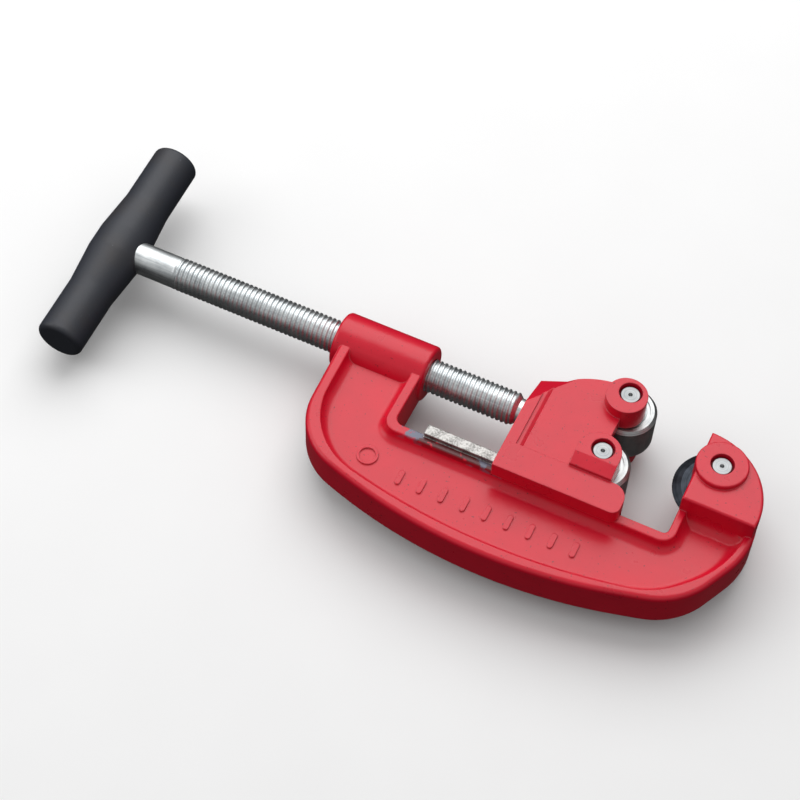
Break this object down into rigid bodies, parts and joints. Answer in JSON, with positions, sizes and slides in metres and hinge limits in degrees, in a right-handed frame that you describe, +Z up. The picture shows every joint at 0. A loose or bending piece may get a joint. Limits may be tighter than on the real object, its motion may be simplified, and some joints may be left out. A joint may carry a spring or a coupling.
{
  "type": "pipe cutter",
  "caption": "Single-wheel pipe cutter: cast C-frame, cutting wheel in the jaw, sliding carriage with rollers, and a feed screw with T-handle.",
  "frame": {"origin": "middle of the footprint of the tool lying on its side, on the bench", "axes": "+X along the feed screw from the handle to the jaw, +Y out of the open side of the C-frame, +Z up through the thickness"},
  "size_m": [0.3434, 0.1404, 0.045],
  "materials": {
    "red_enamel": "glossy red enamel on cast iron",
    "zinc_plated_steel": "bright zinc-plated turned steel",
    "black_moulding": "satin black moulding",
    "plain_steel": "plain turned steel",
    "tool_steel": "dark hardened tool steel, ground bevel",
    "pin_steel": "bright turned steel",
    "roller_steel": "turned and plated steel",
    "washer_steel": "plated steel",
    "spring_steel": "oiled spring steel"
  },
  "bodies": {
    "frame": {"frame": "red_enamel", "wheel_pin": "pin_steel", "wheel_pin_clip": "spring_steel"},
    "wheel": {"cutter_wheel": "tool_steel"},
    "carriage": {"carriage": "red_enamel", "thrust_disc": "plain_steel", "upper_lock_pin": "pin_steel", "lower_lock_pin": "pin_steel", "upper_roller_pin": "pin_steel", "lower_roller_pin": "pin_steel", "upper_roller_clip": "spring_steel", "lower_roller_clip": "spring_steel", "upper_roller_front_washer": "washer_steel", "upper_roller_rear_washer": "washer_steel", "lower_roller_front_washer": "washer_steel", "lower_roller_rear_washer": "washer_steel"},
    "screw": {"feed_screw": "zinc_plated_steel", "handle_bar": "plain_steel", "handle_grip": "black_moulding"},
    "upper_roller": {"upper_roller": "roller_steel"},
    "lower_roller": {"lower_roller": "roller_steel"}
  },
  "joints": [
    {"name": "carriage_slide", "type": "slide", "parent": "frame", "child": "carriage", "axis": [1, 0, 0], "range_m": [-0.046, 0.019]},
    {"name": "screw_turn", "type": "hinge", "parent": "carriage", "child": "screw", "pos_m": [-0.03309, 0.0119, 0.0216], "axis": [1, 0, 0], "range_deg": [-7150, 2960]},
    {"name": "wheel_spin", "type": "hinge", "parent": "frame", "child": "wheel", "pos_m": [0.14691, 0.0119, 0.0216], "axis": [0, 0, 1], "continuous": true},
    {"name": "upper_roller_spin", "type": "hinge", "parent": "carriage", "child": "upper_roller", "pos_m": [0.09691, 0.028, 0.0216], "axis": [0, 0, 1], "continuous": true},
    {"name": "lower_roller_spin", "type": "hinge", "parent": "carriage", "child": "lower_roller", "pos_m": [0.09691, -0.0042, 0.0216], "axis": [0, 0, 1], "continuous": true}
  ],
  "couplings": [
    {"joint": "carriage_slide", "follows": "screw_turn", "m_per_rad": 0.00036749}
  ]
}
